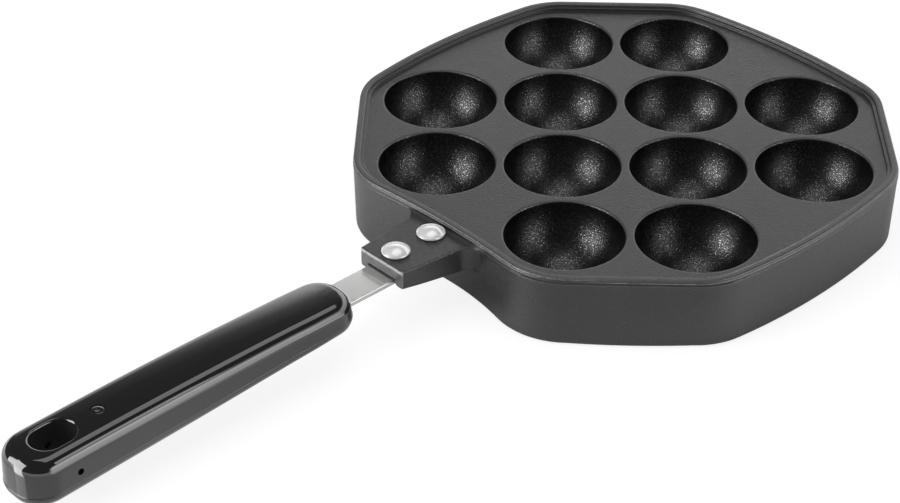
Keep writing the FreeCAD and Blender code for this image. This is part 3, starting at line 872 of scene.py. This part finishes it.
def coated_casting():
    """Dark coating with a fine grain, a few pale specks, bare metal where edges are rubbed, and painted
    highlights on the rim's edges and at the lug's root.
    """
    paint = Paint("coated_casting")
    grain = paint.noise(0.5, 1.0, 0.5)
    coarse = paint.noise(2.2, 2.0, 0.5)
    cloudy = paint.noise(26.0, 3.0, 0.5)
    specks = paint.ramp(paint.noise(0.6, 1.0, 0.5), 0.60, 0.72)
    ragged = paint.ramp(paint.noise(1.4, 4.0, 0.7), 0.40, 0.62)
    base = paint.blend(paint.ramp(cloudy, 0.3, 0.7), grey(0.012), grey(0.017))
    base = paint.blend(paint.times(specks, 0.5), base, grey(0.06))

    # the cups, and what lies under them, have a finish of their own
    across, along = (sum_up(paint.tree, "ABSOLUTE", paint.axes[axis]) for axis in ("X", "Y"))
    square = paint.ramp(sum_up(paint.tree, "MAXIMUM", across, along), 0.0878, 0.0884, 1.0, 0.0)
    diagonal = paint.ramp(paint.plus(across, along), 0.1308, 0.1318, 1.0, 0.0)
    in_cups = paint.times(square, diagonal, paint.ramp(paint.axes["Z"], 0.0252, 0.0256, 1.0, 0.0))
    base = paint.blend(in_cups, base, grey(0.052))
    glitter = paint.times(paint.ramp(paint.noise(0.42, 1.0, 0.5), 0.57, 0.65), in_cups)

    # lighter edges where the coating is worn; along the rim's rounded edges the lighter line is also a
    # painted highlight
    rim_edges = paint.near("Z", 27.8, 0.42)
    lips = paint.times(paint.near("Z", 25.6, 0.22), paint.ramp(paint.axes["Y"], -0.0945, -0.0935))
    ledge = paint.near("Z", 26.86, 0.10)
    thin_and_highlit = paint.plus(paint.times(rim_edges, 0.55), paint.times(lips, 0.3), paint.times(ledge, 0.35))
    base = paint.blend(paint.times(thin_and_highlit, paint.ramp(ragged, 0.0, 1.0, 0.7, 1.0)), base, grey(0.17))

    # bare metal at the lug's end and along the flash under the rim; at the lug's root and on the rim's edge
    # beside the lug, rubbed metal with a painted highlight
    beyond_wall = paint.ramp(paint.axes["Y"], -0.0975, -0.0955, 1.0, 0.0)
    end_face = paint.times(paint.near("Y", -122.35, 0.42), paint.ramp(coarse, 0.35, 0.65, 0.55, 1.0))
    end_top = paint.times(paint.near("Y", -122.3, 0.55), paint.near("Z", 24.75, 0.95))
    posts = paint.times(paint.near("Y", -122.0, 0.6), paint.ramp(across, 0.0099, 0.0105))
    lug_top_edges = paint.times(beyond_wall, paint.near("Z", 25.25, 0.32), ragged, ragged)
    # painted highlight, with some rubbed metal, where the lug's right root meets the rim
    root = paint.times(paint.near("X", 18.5, 3.4), paint.near("Y", -93.6, 1.6),
                       paint.near("Z", 26.2, 2.4), ragged)
    right_front = paint.ramp(paint.axes["X"], 0.056, 0.066)
    broken = paint.ramp(paint.noise(3.6, 2.0, 0.6), 0.36, 0.60, 0.35, 1.0)
    flash = paint.times(paint.near("Z", 26.85, 0.30), right_front,
                        paint.ramp(paint.axes["Y"], 0.02, -0.01), broken)
    # painted highlight, with some rubbed metal, along the rim's outer edge beside the lug
    near_corner = paint.times(paint.near("Z", 27.5, 0.5), paint.ramp(paint.axes["Y"], -0.076, -0.084), ragged)
    colour = base
    for rubbed, share, level in ((end_face, 0.8, 0.17), (lug_top_edges, 0.55, 0.20),
                                 (near_corner, 0.55, 0.24), (root, 0.8, 0.30), (flash, 0.6, 0.30)):
        colour = paint.blend(paint.times(rubbed, share), colour, grey(level))
    patchy = paint.ramp(ragged, 0.0, 1.0, 0.55, 1.0)
    bare = paint.ramp(paint.times(paint.plus(end_top, paint.times(posts, 0.3)), patchy), 0.12, 0.5)
    colour = paint.blend(bare, colour, grey(0.50))
    colour = paint.blend(glitter, colour, grey(0.22))
    rough = paint.plus(paint.ramp(coarse, 0.3, 0.7, 0.32, 0.39), paint.times(in_cups, -0.04),
                       paint.times(glitter, -0.12))
    height = paint.times(grain, paint.ramp(in_cups, 0.0, 1.0, 0.7, 0.6))
    normal = paint.bump(height, 0.17, 1.0)
    normal = paint.bump(coarse, 0.02, 0.5, normal)
    # a shallow line drawn along the front under the rim
    forward = sum_up(paint.tree, "SUBTRACT", paint.axes["X"], paint.axes["Y"])
    drawn = paint.times(paint.near("Z", 26.25, 0.32), paint.ramp(forward, 0.126, 0.136), broken)
    normal = paint.bump(paint.times(drawn, -1.0), 0.6, 1.0, normal)
    # between its specks the cups' finish is a dark metal, which mirrors less straight on than the plate
    paint.set(Base_Color=colour, Metallic=in_cups, Roughness=rough, Normal=normal, Specular_IOR_Level=1.0)
    return paint.material


def strap_steel():
    """Satin steel, drawn lengthways."""
    paint = Paint("strap_steel")
    lines = paint.noise(0.5, 3.0, 0.6, scale=(1.0, 0.01, 1.0))
    patches = paint.noise(9.0, 2.0, 0.5)
    colour = paint.blend(lines, grey(0.80, 0.008), grey(0.88, 0.008))
    rough = paint.plus(paint.ramp(lines, 0.2, 0.8, 0.16, 0.22), paint.ramp(patches, 0.3, 0.7, -0.02, 0.03))
    # inside the lug's slot the steel is painted black and dull: a painted shade where the slot closes over it
    slot_shade = paint.ramp(paint.axes["Y"], -0.1220, -0.1217)
    colour = paint.blend(slot_shade, colour, grey(0.005))
    rough = paint.plus(rough, paint.times(slot_shade, 0.45))
    # the finish alone leans a little to one side, while the bar itself is level
    lean = paint.bump(paint.times(paint.axes["X"], 38.0), 1.0)
    paint.set(Base_Color=colour, Metallic=paint.ramp(slot_shade, 0.0, 1.0, 0.93, 0.0), Roughness=rough,
              Normal=paint.bump(lines, 0.008, 0.4, lean))
    return paint.material


def rivet_steel():
    """Bright pressed steel with faint hammering."""
    paint = Paint("rivet_steel")
    dents = paint.noise(2.2, 2.0, 0.5)
    fine = paint.noise(0.25, 2.0, 0.6)
    colour = paint.blend(fine, grey(0.93), grey(0.98))
    # painted shade: the foot of each head and all below it turn dark and dull, as where the head meets the
    # lug
    foot_shade = paint.times(paint.ramp(paint.axes["Z"], 0.0257, 0.0261, 1.0, 0.0), 0.85)
    colour = paint.blend(foot_shade, colour, grey(0.03))
    rough = paint.plus(paint.ramp(fine, 0.2, 0.8, 0.24, 0.34), paint.times(foot_shade, 0.3))
    paint.set(Base_Color=colour, Metallic=0.45, Roughness=rough, Normal=paint.bump(dents, 0.07, 0.6))
    return paint.material


def grip_resin():
    """Glossy black moulding, very slightly rippled, with fine handling marks."""
    paint = Paint("grip_resin")
    ripple = paint.noise(9.0, 2.0, 0.5)
    dust = paint.noise(0.3, 3.0, 0.6)
    marks = paint.ramp(paint.noise(1.1, 4.0, 0.65, scale=(1.0, 0.1, 1.0)), 0.6, 0.8)
    colour = paint.blend(dust, grey(0.005), grey(0.009))
    rough = paint.plus(paint.ramp(dust, 0.3, 0.7, 0.07, 0.11), paint.times(marks, 0.08))
    paint.set(Base_Color=colour, Roughness=rough, Normal=paint.bump(ripple, 0.03, 0.4),
              Specular_IOR_Level=1.0, Coat_Weight=1.0, Coat_Roughness=0.03)
    return paint.material


def hole_wall():
    """Unpolished black inside of the hanging hole, kept from shining as painted shade."""
    paint = Paint("hole_wall")
    paint.set(Base_Color=paint.blend(paint.noise(0.8, 2.0, 0.5), grey(0.012), grey(0.022)),
              Roughness=paint.ramp(paint.noise(1.5, 2.0, 0.5), 0.3, 0.7, 0.55, 0.7), Specular_IOR_Level=0.15)
    return paint.material


# ---- room, lamps, camera -----------------------------------------------------------------
def leaning(tree, axes, x, y):
    """How far a place or a direction lies along a level direction."""
    return plus(tree, times(tree, axes["X"], x), times(tree, axes["Y"], y))


def grey_ramp(tree, value, stops):
    """Brightness by a value from 0 to 1, straight between its stops."""
    ramp = node(tree, "ShaderNodeValToRGB", {0: value})
    marks = ramp.color_ramp.elements
    marks.remove(marks[1])
    marks[0].position, marks[0].color = stops[0][0], grey(stops[0][1])
    for position, level in stops[1:]:
        marks.new(position).color = grey(level)
    return ramp.outputs[0]


def lay_floor():
    """White to the eye; to the gloss its brightness follows place, darkened by painted shade."""
    size = 6.0
    mesh = bpy.data.meshes.new("floor")
    mesh.from_pydata([(-size, -size, -0.0002), (size, -size, -0.0002), (size, size, -0.0002),
                      (-size, size, -0.0002)], [], [(0, 1, 2, 3)])
    floor = new_object("floor", mesh)
    material = bpy.data.materials.new("pale_floor")
    material.use_nodes = True
    tree = material.node_tree
    tree.nodes.clear()
    path = tree.nodes.new("ShaderNodeLightPath").outputs
    place = tree.nodes.new("ShaderNodeTexCoord").outputs["Object"]
    axes = node(tree, "ShaderNodeSeparateXYZ", {0: place}).outputs
    # to the gloss the floor has painted shade: it falls off towards where one stands, with a painted shadow
    # in the nook by the lug, and it ends in the room
    nearer = grey_ramp(tree, leaning(tree, axes, 2.0, -2.667), (
        (0.0, 1.0), (0.34, 1.0), (0.385, 0.74), (0.42, 0.61), (0.63, 0.56), (0.87, 0.40)))
    from_nook = node(tree, "ShaderNodeVectorMath", {0: place, 1: (0.010, -0.107, 0.0)},
                     operation="DISTANCE").outputs["Value"]
    # painted shadow beside the lug, seen only in reflections
    nook = spread(tree, from_nook, 0.010, 0.020, 0.10)
    gloss = mix(tree, path["Is Glossy Ray"], grey(0.86), times(tree, nearer, nook))
    lit = node(tree, "ShaderNodeBsdfDiffuse", {"Color": mix(tree, path["Is Camera Ray"], gloss, grey(0.30))})
    level = times(tree, path["Is Camera Ray"], 0.82)
    glow = node(tree, "ShaderNodeEmission", {"Color": grey(1.0), "Strength": level})
    both = node(tree, "ShaderNodeAddShader", {0: lit.outputs[0], 1: glow.outputs[0]})
    away = node(tree, "ShaderNodeVectorMath", {0: place}, operation="LENGTH").outputs["Value"]
    through = times(tree, path["Is Glossy Ray"], spread(tree, away, 0.15, 0.22, 0.15))
    sheet = node(tree, "ShaderNodeMixShader", {0: through, 1: both.outputs[0],
                                               2: tree.nodes.new("ShaderNodeBsdfTransparent").outputs[0]})
    out = tree.nodes.new("ShaderNodeOutputMaterial")
    tree.links.new(sheet.outputs[0], out.inputs[0])
    mesh.materials.append(material)


def light_room():
    """White to the eye; to the gloss dark overhead, with a backdrop brightest some 28 degrees up."""
    world = bpy.data.worlds.new("studio")
    bpy.context.scene.world = world
    world.use_nodes = True
    tree = world.node_tree
    tree.nodes.clear()
    way = tree.nodes.new("ShaderNodeTexCoord").outputs["Generated"]
    axes = node(tree, "ShaderNodeSeparateXYZ", {0: way}).outputs
    backdrop = spread(tree, leaning(tree, axes, -0.09, 1.0), 0.36, 0.66)
    levels = grey_ramp(tree, axes["Z"], (
        (0.0, 1.0), (0.40, 1.4), (0.475, 1.7), (0.51, 0.85), (0.545, 0.24), (0.60, 0.08),
        (0.66, 0.07), (1.0, 0.07)))
    # on the right a pale wall glows under the side lamp
    right = spread(tree, leaning(tree, axes, 0.79, 0.62), 0.70, 0.82)
    wall = grey_ramp(tree, axes["Z"], ((0.0, 1.9), (0.12, 2.2), (0.24, 2.8), (0.35, 2.8), (0.47, 0.0)))
    above = mix(tree, backdrop, plus(tree, times(tree, right, wall), 0.07), levels)
    # below the horizon the gloss sees a pale room, a little dimmer where one stands at the table,
    # and bright under the key lamp and under the pale wall
    stand = spread(tree, leaning(tree, axes, 0.84, -0.545), 0.39, 0.45, 1.0, 0.85)
    sunk = plus(tree, axes["Z"], 1.0)
    beside = spread(tree, sum_up(tree, "ABSOLUTE", leaning(tree, axes, 0.91, -0.41)), 0.25, 0.31, 1.0, 0.0)
    lamp_foot = times(tree, spread(tree, leaning(tree, axes, -0.41, -0.91), 0.60, 0.70), beside,
                      grey_ramp(tree, sunk, ((0.38, 0.35), (0.46, 0.5), (0.53, 3.4), (1.0, 4.0))))
    wall_foot = times(tree, right, grey_ramp(tree, sunk, ((0.55, 0.0), (0.74, 1.0), (1.0, 1.3))))
    table = times(tree, stand, grey_ramp(tree, sunk, ((0.6, 0.6), (0.85, 1.0), (1.0, 1.15))))
    table = plus(tree, table, plus(tree, lamp_foot, wall_foot))
    room = mix(tree, sum_up(tree, "LESS_THAN", axes["Z"], 0.0), above, table)
    path = tree.nodes.new("ShaderNodeLightPath").outputs
    glossy = mix(tree, path["Is Glossy Ray"], grey(0.5), room)
    seen = mix(tree, path["Is Camera Ray"], glossy, grey(1.0))
    sky = node(tree, "ShaderNodeBackground", {"Color": seen, "Strength": 1.0})
    out = tree.nodes.new("ShaderNodeOutputWorld")
    tree.links.new(sky.outputs[0], out.inputs[0])


def softbox(name, direction, width, height, level, away=1.6, target=(0.0, -0.08, 0.02)):
    """A soft lamp whose face has a given brightness, aimed at the pan."""
    lamp = bpy.data.lights.new(name, "AREA")
    lamp.shape, lamp.size, lamp.size_y = "RECTANGLE", width, height
    lamp.energy = level * math.pi * width * height
    thing = bpy.data.objects.new(name, lamp)
    bpy.context.scene.collection.objects.link(thing)
    way = Vector(direction).normalized()
    thing.location = Vector(target) + way * away
    thing.rotation_euler = way.to_track_quat("Z", "Y").to_euler()
    thing.visible_camera = False


def set_camera():
    camera = bpy.data.objects.new("camera", bpy.data.cameras.new("camera"))
    bpy.context.scene.collection.objects.link(camera)
    camera.data.sensor_fit, camera.data.sensor_width, camera.data.lens = "HORIZONTAL", 36.0, 92.27
    camera.data.clip_start, camera.data.clip_end = 0.01, 50.0
    forward = Vector((-0.59605, 0.57282, -0.56268)).normalized()
    right = Vector((0.68981, 0.72397, 0.00630)).normalized()
    up = right.cross(forward).normalized()
    camera.matrix_world = Matrix((
        (right.x, up.x, -forward.x, 0.48840), (right.y, up.y, -forward.y, -0.55870),
        (right.z, up.z, -forward.z, 0.47475), (0.0, 0.0, 0.0, 1.0)))
    bpy.context.scene.camera = camera


# ---- put together --------------------------------------------------------------------
coating = coated_casting()
resin = grip_resin()
pan_casting(coating)
strap_bar(strap_steel())
rivet_pair(rivet_steel())
moulded_grip(resin, hole_wall())
pin_cap(resin)

lay_floor()
light_room()
softbox("key", (-0.385, -0.855, 0.35), 1.05, 1.2, 4.2)
softbox("side", (0.74, 0.27, 0.60), 0.42, 0.42, 1.8, away=1.7, target=(0.0, 0.0, 0.02))
softbox("top", (-0.04, 0.0, 1.0), 0.5, 0.36, 1.0, away=0.53, target=(0.0, 0.0, 0.02))
set_camera()
bpy.context.scene.view_settings.view_transform = "Standard"
